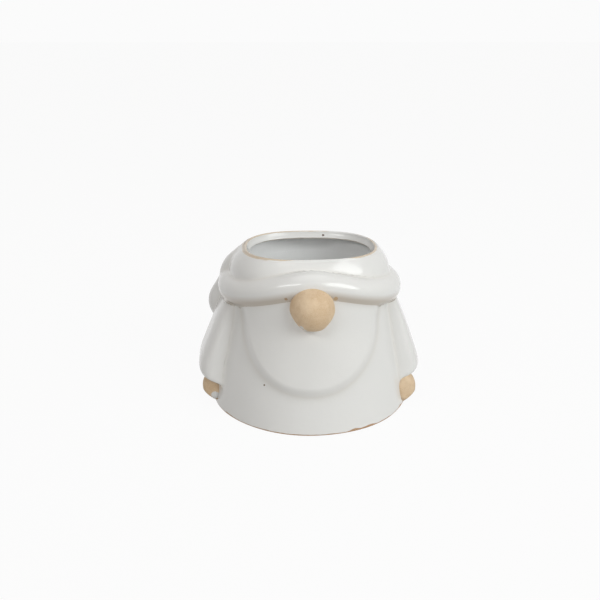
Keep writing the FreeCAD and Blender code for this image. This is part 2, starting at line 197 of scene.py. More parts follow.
def brim_line(turn):
    """Reach, level and lean of the roll's centre line: powers of a cosine make peak and crest."""
    facing = (1.0 + np.cos(turn)) / 2.0
    peak, crest = facing ** PEAK_POWER, facing ** CREST_POWER
    return (SEAM_RADIUS + BRIM_OUT - PEAK_IN * peak,
            BRIM_LEVEL + PEAK_RISE * peak + CREST_RISE * crest,
            np.radians(BRIM_LEAN + PEAK_LEAN * peak))


def from_brim(point):
    """Distance outside the leaning oval roll, measured in the upright plane through the axis."""
    reach, level, lean = brim_line(turn_of(point))
    out = np.hypot(point[..., 0], point[..., 1]) - reach
    rise = point[..., 2] - level
    return from_oval(rise * np.cos(lean) - out * np.sin(lean),
                     out * np.cos(lean) + rise * np.sin(lean), BRIM_HALF_TALL, BRIM_HALF_THICK)


print(f"brim line from {brim_line(np.pi)[1]:.1f} mm at the back to {brim_line(0.0)[1]:.1f} mm at the peak")

# %% [markdown]
# ### The tail's rule
# The tip of the hat droops over the brim at the left. It is a roll of clay of uneven thickness, so
# six stations give its place and radius, and a smooth curve runs through them.

# %% rule of the tail
TAIL = np.array([  # sideways, behind the axis, level, radius
    (-49.0, 9.5, 105.2, 13.4), (-54.6, 13.5, 97.2, 15.2), (-58.4, 20.5, 87.3, 13.6),
    (-63.4, 25.0, 78.5, 12.9), (-68.2, 27.0, 68.5, 13.2), (-68.8, 28.0, 60.5, 10.4)])


def smooth_through(stations, count):
    """A smooth curve through the stations: each value is a Catmull-Rom mean of its neighbours."""
    padded = np.vstack([2 * stations[0] - stations[1], stations, 2 * stations[-1] - stations[-2]])
    place = np.linspace(0, len(stations) - 1, count)
    first = np.minimum(place.astype(int), len(stations) - 2)
    share = (place - first)[:, None]
    before, start, end, after = (padded[first + step] for step in range(4))
    return 0.5 * (2 * start + (end - before) * share
                  + (2 * before - 5 * start + 4 * end - after) * share ** 2
                  + (3 * start - before - 3 * end + after) * share ** 3)


tail_line = smooth_through(TAIL, 25)


def from_tail(point):
    """Least distance to a chain of short cones along the tail's line."""
    best = np.full(point.shape[:-1], 1e3)
    for start, end in zip(tail_line[:-1], tail_line[1:]):
        along = end[:3] - start[:3]
        share = np.clip((point - start[:3]) @ along / (along @ along), 0.0, 1.0)
        gap = np.linalg.norm(point - start[:3] - share[..., None] * along, axis=-1)
        best = np.minimum(best, gap - start[3] - share * (end[3] - start[3]))
    return best


tail_steps = np.linalg.norm(np.diff(tail_line[:, :3], axis=0), axis=1)
print(f"tail line {tail_steps.sum():.0f} mm long, thickest {2 * tail_line[:, 3].max():.0f} mm")

# %% [markdown]
# ### The beard's rule
# The beard is a flat slab pressed onto the robe. Seen from the front it is a U, and its edge rises
# softly, wider towards the round end where more clay was smoothed down. It ends inside the brim.

# %% rule of the beard
BEARD_MIDDLE, BEARD_HALF_WIDE, BEARD_THICK = -1.0, 49.7, 4.2
BEARD_SHOULDER, BEARD_END, BEARD_SQUARE = 74.0, 29.0, 2.2
BEARD_DROP = BEARD_SHOULDER - BEARD_END
BEARD_SPREAD = 0.12                       # how fast it widens above its shoulder
EDGE_WIDE, EDGE_WIDER = 5.0, 3.5          # at the shoulder, and what the round end adds
BEARD_BACK = -20.0                        # nothing of the beard lies behind this


def beard_half_wide(level):
    """Half the beard's width: even up to its shoulder, then a little wider towards the brim."""
    return BEARD_HALF_WIDE + BEARD_SPREAD * np.maximum(level - BEARD_SHOULDER, 0.0)


def beard_edge_wide(level):
    """How wide the soft edge is: wider towards the beard's round end."""
    return EDGE_WIDE + EDGE_WIDER * np.clip((BEARD_SHOULDER - level) / BEARD_DROP, 0.0, 1.0)


def beard_height(share):
    """Height over the robe at a share of the edge's width: rises fast, then eases to the full slab."""
    share = np.minimum(share, 1.0)
    return BEARD_THICK * (2.0 * share - np.maximum(share, 0.0) ** 2)


def from_beard(point):
    """Distance above a slab laid on the robe: a U seen from the front, ending inside the brim."""
    side, level = point[..., 0], point[..., 2]
    below = np.minimum(level - BEARD_SHOULDER, 0.0)
    outside_u = from_oval(side - BEARD_MIDDLE, below, beard_half_wide(level), BEARD_DROP, BEARD_SQUARE)
    wide = beard_edge_wide(level)
    share = -outside_u / wide
    slope = 2.0 * BEARD_THICK * np.clip(1.0 - share, 0.0, 1.0) / wide
    height = np.hypot(side, point[..., 1]) - robe_radius(level) - beard_height(share)
    beyond = np.maximum(level - brim_line(turn_of(point))[1], point[..., 1] - BEARD_BACK)
    return soft_greater(WALL_COSINE * height / np.hypot(1.0, slope), beyond, 1.0)


print(f"beard {2 * BEARD_HALF_WIDE:.0f} mm wide, down to {BEARD_END:.0f} mm")

# %% [markdown]
# ### The sleeves' rule
# A sleeve is a bell of squarish ovals, thin at the shoulder and thick at the cuff. The cuff slants
# up outwards and the collar falls away on both sides, so the bell is met there by two more
# surfaces. The two sleeves share one rule, with the side as its sign. They differ a little in
# their turn and in how far they bulge, as pieces shaped by hand do.

# %% rule of the sleeves
SHOULDER_LEVEL, SHOULDER_IN = 93.0, 3.4             # the top of the bell lies inside the robe
CUFF_LEVEL, CUFF_OUT = cuff_low[2], 15.4            # and its foot stands out from the belly
CUFF_ROUND, CUFF_RISE, CUFF_MIDDLE = 4.0, 0.4, 74.0
COLLAR_LEVEL, COLLAR_FALL, COLLAR_SOFT = 92.5, 0.42, 3.0
SLEEVE_THICK, SLEEVE_THICKER = 6.0, 9.0             # half sizes at the shoulder, and what
SLEEVE_WIDE, SLEEVE_WIDER = 19.0, 13.0              # the cuff adds to them
SLEEVE_SQUARE, FLARE_POWER = 2.8, 0.72
CUFF_TUCK, TUCK_FROM = 2.6, 0.86                    # drawn in over the last share of the fall
SLEEVE_TURN = {-1: radians(86.0), 1: radians(91.0)}     # left and right, from the face
SLEEVE_BULGE = {-1: 1.1, 1: 0.3}
BULGE_LEVEL, BULGE_TALL = 34.0, 13.0


def sleeve_oval(level, side):
    """Half thickness, half width and reach of the sleeve's middle at a level."""
    share = np.clip((SHOULDER_LEVEL - level) / (SHOULDER_LEVEL - CUFF_LEVEL), 0.0, 1.0)
    flare = share ** FLARE_POWER
    half_thick = SLEEVE_THICK + SLEEVE_THICKER * share
    tuck = CUFF_TUCK * eased(share - TUCK_FROM, 0.06) / (1.0 - TUCK_FROM)
    bulge = SLEEVE_BULGE[side] * np.exp(-((level - BULGE_LEVEL) / BULGE_TALL) ** 2)
    shoulder, cuff = CHEST[1] - SHOULDER_IN, BELLY[1] + CUFF_OUT
    outside = shoulder + (cuff - shoulder) * flare - tuck + bulge
    return half_thick, SLEEVE_WIDE + SLEEVE_WIDER * flare, outside - half_thick


def side_axes(turn, side):
    """Outward and backward headings at a bearing from the face; side is -1 for left, +1 for right."""
    return (np.array([np.sin(turn) * side, -np.cos(turn), 0.0]),
            np.array([np.cos(turn) * side, np.sin(turn), 0.0]))


def collar_drop(back):
    """How far the collar falls away from its peak at the middle of the sleeve."""
    return COLLAR_FALL * (np.hypot(back, COLLAR_SOFT) - COLLAR_SOFT)


def from_sleeve(point, side):
    """Outside the squarish oval at its level, below the slanting cuff or above the collar."""
    out_axis, back_axis = side_axes(SLEEVE_TURN[side], side)
    level, out, back = point[..., 2], point @ out_axis, point @ back_axis
    half_thick, half_wide, reach = sleeve_oval(level, side)
    wall = from_oval(out - reach, back, half_thick, half_wide, SLEEVE_SQUARE)
    above = (level - COLLAR_LEVEL + collar_drop(back)) / np.hypot(1.0, COLLAR_FALL)
    below = (CUFF_LEVEL + CUFF_RISE * (out - CUFF_MIDDLE) - level) / np.hypot(1.0, CUFF_RISE)
    return soft_greater(soft_greater(wall, below, CUFF_ROUND), above, COLLAR_SOFT)


print(f"cuffs at {CUFF_LEVEL:.1f} mm, {2 * (SLEEVE_WIDE + SLEEVE_WIDER):.0f} mm wide")

# %% [markdown]
# ### One skin over all of them
# The plain least of the distances would give hard inside corners. A soft least, from exponentials,
# fills them, and the gap between the two says how deep the glaze has pooled.

# %% the one skin of glaze over all of them
GLAZE_SOFT = 1.5                  # how widely the glaze rounds an inside corner
SLIDE_IN, SLIDE_OUT = 1.2, 3.5    # how far a point may move to reach the skin
DIP_FROM, DIP_MOST = 1.2, 0.6     # where a covered piece starts to dip, and its least limit
SEAT_DEPTH = 1.2                  # how deep in the vessel's wall a piece may reach
RULES = {"vessel": from_vessel, "brim": from_brim, "tail": from_tail, "beard": from_beard,
         "left_sleeve": lambda point: from_sleeve(point, -1),
         "right_sleeve": lambda point: from_sleeve(point, 1)}


def all_distances(point):
    """Distances to every form, one row each."""
    return np.stack([rule(point) for rule in RULES.values()])


def skin_distance(distances):
    """Soft least of the distances: minus the log of the sum of their falling exponentials."""
    least = distances.min(axis=0)
    return least - GLAZE_SOFT * np.log(np.exp((least - distances) / GLAZE_SOFT).sum(axis=0))


def onto_skin(point, heading, form):
    """Slide points along their headings onto the skin; where another form lies on top, dip below.

    Newton's steps find the skin. Both pieces stay on it a little past the line where they are
    equally near, and then dip with the square of how much nearer the other is, so no groove
    shows between them.
    Gives the points and how deep in a glaze pool each one lies, 0 to 1.
    """
    slide = np.zeros(point.shape[:-1])
    for _ in range(5):
        here = point + slide[..., None] * heading
        now = skin_distance(all_distances(here))
        ahead = skin_distance(all_distances(here + 0.1 * heading))
        steepness = np.clip((ahead - now) / 0.1, 0.4, 1.5)
        slide = np.clip(slide - now / steepness, -SLIDE_IN, SLIDE_OUT)
    here = point + slide[..., None] * heading
    distances = all_distances(here)
    row = list(RULES).index(form)
    over = np.maximum(distances[row] - np.delete(distances, row, axis=0).min(axis=0), 0.0)
    dip = 0.05 * np.minimum(over, 1.0) + np.maximum(over - DIP_FROM, 0.0) ** 2 / 3.0
    dip = np.minimum(dip, np.maximum(slide, 0.0) + DIP_MOST)
    pool = (distances.min(axis=0) - skin_distance(distances)) / (GLAZE_SOFT * np.log(2.0))
    return here - dip[..., None] * heading, np.clip(pool, 0.0, 1.0)


def seated(point):
    """Points too deep in the vessel's wall are brought straight out to the seating depth."""
    deep = np.maximum(-SEAT_DEPTH - from_vessel(point), 0.0)
    away = np.maximum(np.hypot(point[..., 0], point[..., 1]), 1e-3)
    return point * np.stack([1 + deep / away, 1 + deep / away, np.ones_like(deep)], axis=-1)


corner_fill = GLAZE_SOFT * np.log(2.0)
print(f"where two forms are equally near, the glaze stands {corner_fill:.2f} mm over them")

# %% [markdown]
# ### Made by hand
# No hand-made pot is true. Slow waves run over this one, its foot is a little oval and set off to
# one side, and its waist leans the other way. All pieces move together, so their joints stay shut.

# %% unevenness, the same for all pieces
FOOT_TALL, WAIST_LEVEL, WAIST_TALL = 26.0, 38.0, 26.0


def worked_by_hand(point):
    """Slow sine waves a third of a millimetre high, a body that leans a little, an oval foot."""
    x, y, z = point[..., 0], point[..., 1], point[..., 2]
    low = np.clip(1.0 - z / FOOT_TALL, 0.0, 1.0) ** 1.5
    waist = np.exp(-((z - WAIST_LEVEL) / WAIST_TALL) ** 2)
    drift = np.stack([0.3 * np.sin(z / 17.0 + y / 23.0) + 0.2 * np.sin(y / 11.0 + 2.0),
                      0.3 * np.sin(z / 19.0 + x / 21.0 + 1.0) + 0.2 * np.sin(x / 12.0),
                      0.25 * np.sin(x / 18.0 + y / 25.0 + 0.5)], axis=-1)
    drift[..., 0] += (0.8 - 0.012 * x) * low - 1.0 * waist
    drift[..., 1] += 0.014 * y * low
    drift[..., 2] *= np.clip(z / 30.0, 0.0, 1.0)
    return point + drift


print("drift at the middle of the foot, mm:", worked_by_hand(np.zeros((1, 3))).round(2))

# %% [markdown]
# ## From rings of points to a piece
# A thrown or rolled form is a stack of closed rings. Ring by ring, each point is joined to its
# neighbours by four-cornered faces; the ends close in one middle point, or the last ring meets the
# first as on a tyre. Writing whole arrays into the mesh is quick, and the sign of the enclosed
# volume tells whether the faces point outwards.

# %% rings to mesh
def make_piece(name, rings, masks=None, tyre=False):
    """Close a grid of points (ring, place on ring, xyz) in millimetres into one solid mesh."""
    rows, columns, _ = rings.shape
    number = np.arange(rows * columns).reshape(rows, columns)
    upper = np.roll(number, -1, axis=0) if tyre else number[1:]
    lower = number if tyre else number[:-1]
    quads = np.stack([lower, np.roll(lower, -1, axis=1), np.roll(upper, -1, axis=1), upper], axis=-1)
    quads = quads.reshape(-1, 4)
    points = rings.reshape(-1, 3)
    fans = np.empty((0, 3), dtype=int)
    if not tyre:
        points = np.vstack([points, rings[0].mean(axis=0), rings[-1].mean(axis=0)])
        first, last = number[0], number[-1]
        start, end = np.full(columns, rows * columns), np.full(columns, rows * columns + 1)
        fans = np.vstack([np.stack([start, np.roll(first, -1), first], axis=-1),
                          np.stack([end, last, np.roll(last, -1)], axis=-1)])
    corners = points[np.vstack([quads[:, [0, 1, 2]], quads[:, [0, 2, 3]], fans])]
    volume = np.einsum("ij,ij->i", corners[:, 0], np.cross(corners[:, 1], corners[:, 2])).sum() / 6
    if volume < 0:
        quads, fans = quads[:, ::-1], fans[:, ::-1]
    mesh = bpy.data.meshes.new(name)
    mesh.vertices.add(len(points))
    mesh.vertices.foreach_set("co", (points * MM).astype(np.float32).ravel())
    loops = np.concatenate([quads.ravel(), fans.ravel()])
    mesh.loops.add(len(loops))
    mesh.loops.foreach_set("vertex_index", loops.astype(np.int32))
    sizes = np.concatenate([np.full(len(quads), 4), np.full(len(fans), 3)])
    mesh.polygons.add(len(sizes))
    mesh.polygons.foreach_set("loop_start", (np.cumsum(sizes) - sizes).astype(np.int32))
    mesh.polygons.foreach_set("use_smooth", np.ones(len(sizes), dtype=bool))
    mesh.update(calc_edges=True)
    for mask_name, values in (masks or {}).items():
        values = np.broadcast_to(values, (rows, columns)).ravel()
        if not tyre:
            values = np.concatenate([values, [values[:columns].mean(), values[-columns:].mean()]])
        layer = mesh.attributes.new(mask_name, "FLOAT", "POINT")
        layer.data.foreach_set("value", values.astype(np.float32))
    mesh.validate()
    piece = bpy.data.objects.new(name, mesh)
    bpy.context.scene.collection.objects.link(piece)
    print(f"{name}: {len(points)} points, {abs(volume) / 1000:.1f} cm3")
    return piece


def around(columns):
    """Evenly spaced angles for one ring."""
    return np.linspace(0.0, 2.0 * np.pi, columns, endpoint=False)


def line(*stations, step=1.0):
    """Points about `step` apart along straight runs between (x, y) stations."""
    runs = []
    for start, end in zip(stations[:-1], stations[1:]):
        start, end = np.array(start, float), np.array(end, float)
        count = max(int(np.ceil(np.linalg.norm(end - start) / step)), 1)
        runs.append(start + (end - start) * np.linspace(0, 1, count, endpoint=False)[:, None])
    return np.vstack(runs + [np.array([stations[-1]], float)])


def corner(middle, radius, start, end, count=5):
    """Points of an arc between two angles in degrees."""
    angle = np.radians(np.linspace(start, end, count))
    return np.stack([middle[0] + radius * np.cos(angle), middle[1] + radius * np.sin(angle)], axis=-1)


# %% [markdown]
# ## The robe
# The robe is the pot: an outer wall from the foot ring to the seam under the brim, a seam face, an
# inner wall, a rounded corner, a floor and a recess under it. It is one profile turned about the
# axis, closed at both middle points. Only its outer wall is drawn onto the glaze skin.

# %% robe
ROBE_COLUMNS, POLE = 540, 0.6         # POLE: radius of the smallest ring round the axis
RECESS, FOOT_RING, FOOT_CORNER = 2.5, 7.0, 1.0
POT_FLOOR, FLOOR_ROUND = 8.5, 8.0
HOLD = 0.15                           # rings this near a corner hold its shading
INNER_SEAM = SEAM_RADIUS - CLAY_WALL
INNER_BELLY = BELLY[1] - CLAY_WALL

underside = line((POLE, RECESS), (FOOT_RADIUS - FOOT_RING - 1.0, RECESS), step=8.0)
foot_inside = [(FOOT_RADIUS - FOOT_RING - 0.2, RECESS - 0.3), (FOOT_RADIUS - FOOT_RING, 0.0)]
foot_round = corner((FOOT_RADIUS - 1.2, FOOT_CORNER), FOOT_CORNER, -90, 0)
outer_levels = np.append(np.linspace(1.5, SEAM_LEVEL - 0.2, 110), SEAM_LEVEL)
outer_wall = np.stack([robe_radius(outer_levels), outer_levels], axis=-1)
seam_face = [(INNER_SEAM + HOLD, SEAM_LEVEL), (INNER_SEAM, SEAM_LEVEL)]
inner_wall = line((INNER_SEAM + 0.01, SEAM_LEVEL - HOLD), (CHEST[1] - CLAY_WALL, CHEST[0]),
                  (INNER_BELLY - 1.5, 17.0), step=4.0)
floor_corner = corner((INNER_BELLY - FLOOR_ROUND, POT_FLOOR + FLOOR_ROUND), FLOOR_ROUND, 0, -90, 9)
pot_floor = line((INNER_BELLY - 12.0, POT_FLOOR), (POLE, POT_FLOOR), step=8.0)
profile = np.vstack([underside, foot_inside, foot_round, outer_wall, seam_face, inner_wall,
                     floor_corner, pot_floor])
turn = around(ROBE_COLUMNS)
outward = np.stack([np.sin(turn), -np.cos(turn), np.zeros_like(turn)], axis=-1)


def turned(profile, heading):
    """Each (radius, level) of the profile carried round the axis."""
    rings = profile[:, None, 0, None] * heading[None]
    rings[..., 2] = profile[:, None, 1]
    return rings


rings = turned(profile, outward)
wall_start = len(underside) + len(foot_inside) + len(foot_round)
wall = slice(wall_start, wall_start + len(outer_levels) - 1)
rings[wall], pool = onto_skin(rings[wall], np.broadcast_to(outward, rings[wall].shape), "vessel")
robe_pool = np.zeros(rings.shape[:2])
robe_pool[wall] = pool
# the inner rings, where the glaze is painted lighter as painted light
inside = np.zeros(len(rings))
inside[wall.stop + 1:] = 1.0
robe = make_piece("robe_glazed", worked_by_hand(rings), {"pool": robe_pool, "inside": inside[:, None]})

# %% [markdown]
# ## The crown of the hat
# Above the seam the wall leans in to an oval mouth. Inside its rim a band leans inwards, as wide as
# a finger, and ends in an edge; below it the wall steps back to its usual thickness. The profile
# here is a list of (share of the climb, how far in from the outside, how far down), because the
# oval changes its size and its squareness on the way up. Three values are painted on the points
# for the glaze to read: where it wore thin on the edge, the line under the lip, which is partly a
# glaze break and partly painted shadow, and the inside, where the glaze is painted lighter as
# painted light.

# %% crown
RIM_WALL, LIP_TALL, LIP_LEAN = 2.2, 5.3, 2.0
CLIMB = MOUTH_LEVEL - SEAM_LEVEL
OUTER = 84                        # rings up the outside of the crown


def crown_ring(climb, inset, drop=0.0):
    """One oval ring: the crown's outside at a share of its climb, inset, and lowered by drop."""
    reach = crown_reach(turn, climb, inset)
    ring = outward * reach[:, None]
    ring[:, 2] = SEAM_LEVEL + climb * (mouth_level(ring[:, 1]) - SEAM_LEVEL) - drop
    return ring


rim_in, rim_down = RIM_WALL / 2, 1.1
outside = [(climb, 0.0, 0.0) for climb in np.linspace(0.0, 1.0 - rim_down / CLIMB, OUTER)]
rim = [(1.0, rim_in - rim_in * np.cos(a), rim_down - rim_down * np.sin(a))
       for a in np.linspace(0.15, np.pi, 11)]
lip = [(1.0, RIM_WALL + LIP_LEAN * share ** 1.3, rim_down + (LIP_TALL - rim_down) * share)
       for share in np.linspace(0.15, 0.92, 7)]
lip_edge = [(1.0, RIM_WALL + LIP_LEAN + 0.35 * np.sin(a) - 0.35, LIP_TALL + 0.4 - 0.4 * np.cos(a))
            for a in np.linspace(np.pi / 2, np.pi * 1.1, 4)]
crown_rings = [crown_ring(*station) for station in outside + rim + lip + lip_edge]
rim_end = OUTER + len(rim)
lip_end = rim_end + len(lip)
inner_top = crown_ring(1.0 - LIP_TALL / CLIMB, CLAY_WALL + 0.8)
inner_low = outward * INNER_SEAM + np.array([0.0, 0.0, SEAM_LEVEL])
for share in np.linspace(0.0, 1.0, 18):
    ring = inner_top * (1 - share) + inner_low * share
    bow = share * (1 - share)
    crown_rings.append(ring + (inner_low - inner_top) * bow * np.array([1.0, 1.0, 0.0]))
crown_rings.insert(-1, inner_low + np.array([0.0, 0.0, HOLD]))
crown_rings += [outward * reach + np.array([0.0, 0.0, SEAM_LEVEL])
                for reach in (INNER_SEAM + HOLD, SEAM_RADIUS - 1.0)]
crown_rings = np.stack(crown_rings)
wall_shape = crown_rings[:OUTER].shape
crown_rings[:OUTER], pool = onto_skin(crown_rings[:OUTER], np.broadcast_to(outward, wall_shape), "vessel")

# %% what the crown's glaze reads
edge, lip_break_and_shadow, inside = (np.zeros(len(crown_rings)) for _ in range(3))
edge[OUTER - 3:OUTER] = (0.12, 0.4, 0.6)
edge[OUTER:rim_end] = np.sin(np.linspace(0.4, np.pi, len(rim))) ** 0.5
# the line under the lip's edge, where the wall steps back: partly a glaze break, partly painted shadow
lip_break_and_shadow[lip_end - 1:lip_end + 4] = (0.4, 1.0, 1.0, 0.7, 0.2)
# the inside, where the glaze is painted lighter as painted light
inside[lip_end + 2:-2] = 1.0
# how strongly each shows, by degrees from the face towards +X: the dipping was uneven, and the line under
# the lip is partly painted shadow
BEARINGS = (0, 20, 38, 60, 90, 130, 180, 225, 270, 320, 345, 360)
EDGE_SHOWS = (0.40, 0.25, 0.70, 0.75, 0.70, 0.45, 0.60, 0.95, 1.0, 0.85, 0.50, 0.40)
LINE_SHOWS = (0.5, 0.5, 0.5, 0.5, 0.6, 0.8, 0.9, 0.6, 0.3, 0.4, 0.5, 0.5)
edge = edge[:, None] * np.interp(np.degrees(turn), BEARINGS, EDGE_SHOWS)
lip_break_and_shadow = lip_break_and_shadow[:, None] * np.interp(np.degrees(turn), BEARINGS, LINE_SHOWS)
crown_pool = np.zeros(crown_rings.shape[:2])
crown_pool[:OUTER] = pool
crown = make_piece("crown_glazed", worked_by_hand(crown_rings),
                   {"pool": crown_pool, "edge": edge, "lip_break_and_shadow": lip_break_and_shadow,
                    "inside": inside[:, None]}, tyre=True)

# %% [markdown]
# ## The brim
# A roll of clay laid round the hat: one leaning oval carried along a wavy ring. Its inner half is
# buried in the wall, so it is held just under the wall's surface and never shows inside the pot.
# Its underside is painted darker and browner where it faces down, a painted shade marked as "under".

# %% brim
BRIM_ROUND = 84
UNDER_SHADE_FROM, UNDER_SHADE_OVER = 0.02, 0.5      # how far a point faces down where the painted shade of the underside starts
place = around(BRIM_ROUND)
reach, level, lean = brim_line(turn)
tall = BRIM_HALF_TALL * np.sin(place)[:, None]
thick = BRIM_HALF_THICK * np.cos(place)[:, None]
out_by = thick * np.cos(lean) - tall * np.sin(lean)
up_by = tall * np.cos(lean) + thick * np.sin(lean)
rings = outward[None] * (reach + out_by)[..., None]
rings[..., 2] = level + up_by
slope_out = np.cos(place)[:, None] / BRIM_HALF_THICK
slope_up = np.sin(place)[:, None] / BRIM_HALF_TALL
heading = (outward[None] * (slope_out * np.cos(lean) - slope_up * np.sin(lean))[..., None]
           + np.array([0.0, 0.0, 1.0]) * (slope_up * np.cos(lean) + slope_out * np.sin(lean))[..., None])
heading /= np.linalg.norm(heading, axis=-1, keepdims=True)
skin, pool = onto_skin(rings, heading, "brim")
# painted shade: the more a point of the roll faces down, the more of the darker brown it gets
under = np.clip((UNDER_SHADE_FROM - heading[..., 2]) / UNDER_SHADE_OVER, 0.0, 1.0)
brim = make_piece("brim_glazed", worked_by_hand(seated(skin)), {"pool": pool, "under": under}, tyre=True)

# %% [markdown]
# ## The tail of the hat
# A round tube whose radius follows the stations of the tail and ends in a blunt tip. The rings stand
# square to the line, and the two ends are closed with rings that shrink as on a ball.

# %% tail
def tube(stations, columns, cap_rows=10):
    """Rings square to a smooth line of (x, y, z, radius), with a ball-shaped cap at each end."""
    middle, radius = stations[:, :3], stations[:, 3]
    ahead = np.gradient(middle, axis=0)
    ahead /= np.linalg.norm(ahead, axis=1, keepdims=True)
    side = np.cross(ahead, (0.0, 1.0, 0.0))
    side /= np.linalg.norm(side, axis=1, keepdims=True)
    over = np.cross(ahead, side)
    lift = np.linspace(np.pi / 2, 0.06, cap_rows)[1:]

    def cap(index, sign):
        """Middles, radii and two headings of the shrinking rings at one end."""
        shift = sign * np.sin(np.pi / 2 - lift)[:, None] * radius[index] * ahead[index]
        return (middle[index] + shift, radius[index] * np.sin(lift),
                np.repeat(side[index][None], len(lift), 0), np.repeat(over[index][None], len(lift), 0))

    first, last = cap(0, -1.0), cap(-1, 1.0)
    middle, radius, side, over = (np.concatenate([start[::-1], body, end]) for start, body, end in
                                  zip(first, (middle, radius, side, over), last))
    place = around(columns)
    heading = (np.cos(place)[None, :, None] * side[:, None] + np.sin(place)[None, :, None] * over[:, None])
    return middle[:, None] + radius[:, None, None] * heading, heading


rings, heading = tube(smooth_through(TAIL, 70), columns=96)
skin, pool = onto_skin(rings, heading, "tail")
tail = make_piece("tail_glazed", worked_by_hand(seated(skin)), {"pool": pool})

# %% [markdown]
# ## The beard
# The beard is a slab laid on the robe, cut as a U with a soft edge. Its outline is walked round in
# even steps; rings then run inwards from a little outside the outline, first up the rounded edge
# and then across the face to a point in the middle. Each point of that flat map is laid on the
# robe by giving it the robe's radius at its level plus the height of the slab.

# %% beard
BEARD_COLUMNS, BEARD_TOP, TOP_SQUARE = 420, 100.0, 9.0
BEARD_CENTRE = np.array([BEARD_MIDDLE, 72.0])
BURIED = 1.2                              # the two hidden rings lie this deep in the robe
walk = np.linspace(0.0, 2.0 * np.pi, 4000)
lower = np.sin(walk) < 0
square = np.where(lower, BEARD_SQUARE, TOP_SQUARE)
half_tall = np.where(lower, BEARD_DROP, BEARD_TOP - BEARD_SHOULDER)
outline_side = BEARD_HALF_WIDE * np.sign(np.cos(walk)) * np.abs(np.cos(walk)) ** (2 / square)
outline_level = BEARD_SHOULDER + half_tall * np.sign(np.sin(walk)) * np.abs(np.sin(walk)) ** (2 / square)
outline_side = BEARD_MIDDLE + outline_side * beard_half_wide(outline_level) / BEARD_HALF_WIDE
length = np.concatenate([[0.0], np.cumsum(np.hypot(np.diff(outline_side), np.diff(outline_level)))])
even = np.linspace(0.0, length[-1], BEARD_COLUMNS, endpoint=False)
outline = np.stack([np.interp(even, length, outline_side), np.interp(even, length, outline_level)], -1)
run = np.roll(outline, -1, axis=0) - np.roll(outline, 1, axis=0)
inward = np.stack([-run[:, 1], run[:, 0]], axis=-1) / np.linalg.norm(run, axis=1, keepdims=True)


def on_robe(flat, height):
    """A point (side, level) of the front view laid on the robe, standing off it by height."""
    radius = robe_radius(flat[..., 1]) + height
    side = np.clip(flat[..., 0], -radius + 1.0, radius - 1.0)
    return np.stack([side, -np.sqrt(radius ** 2 - side ** 2), flat[..., 1]], axis=-1)


edge_shares = np.concatenate([[-0.45, -0.25, -0.1], np.linspace(0.0, 1.0, 14)])
edge_wide = beard_edge_wide(outline[:, 1])[:, None]
rows = [on_robe(outline + inward * shift, -BURIED) for shift in (6.0, -1.5)]
rows += [on_robe(outline + inward * edge_wide * share, beard_height(share)) for share in edge_shares]
full_ring = outline + inward * edge_wide
rows += [on_robe(BEARD_CENTRE + (full_ring - BEARD_CENTRE) * share, BEARD_THICK)
         for share in np.linspace(1.0, 0.01, 50)[1:]]
rings = np.stack(rows)
heading = rings * np.array([1.0, 1.0, 0.0])
heading /= np.linalg.norm(heading, axis=-1, keepdims=True)
rings[2:], pool = onto_skin(rings[2:], heading[2:], "beard")
beard_pool = np.vstack([np.zeros((2, BEARD_COLUMNS)), pool])
beard = make_piece("beard_glazed", worked_by_hand(seated(rings)), {"pool": beard_pool})

# %% [markdown]
# ## The sleeves
# Each sleeve is a bell of ovals from the collar to the cuff. The cuff's lower edge is rounded, and
# its underside is hollowed a little, which leaves the dark line over the hand. The rings lie level
# in the middle, slant with the cuff below and fall with the collar above, so they never cross.

# %% sleeves
SLEEVE_COLUMNS = 200
SLANT_BELOW = 50.0                        # rings slant with the cuff below, with the collar above
COLLAR_ROUND, CUFF_HOLLOW = 2.5, 2.0


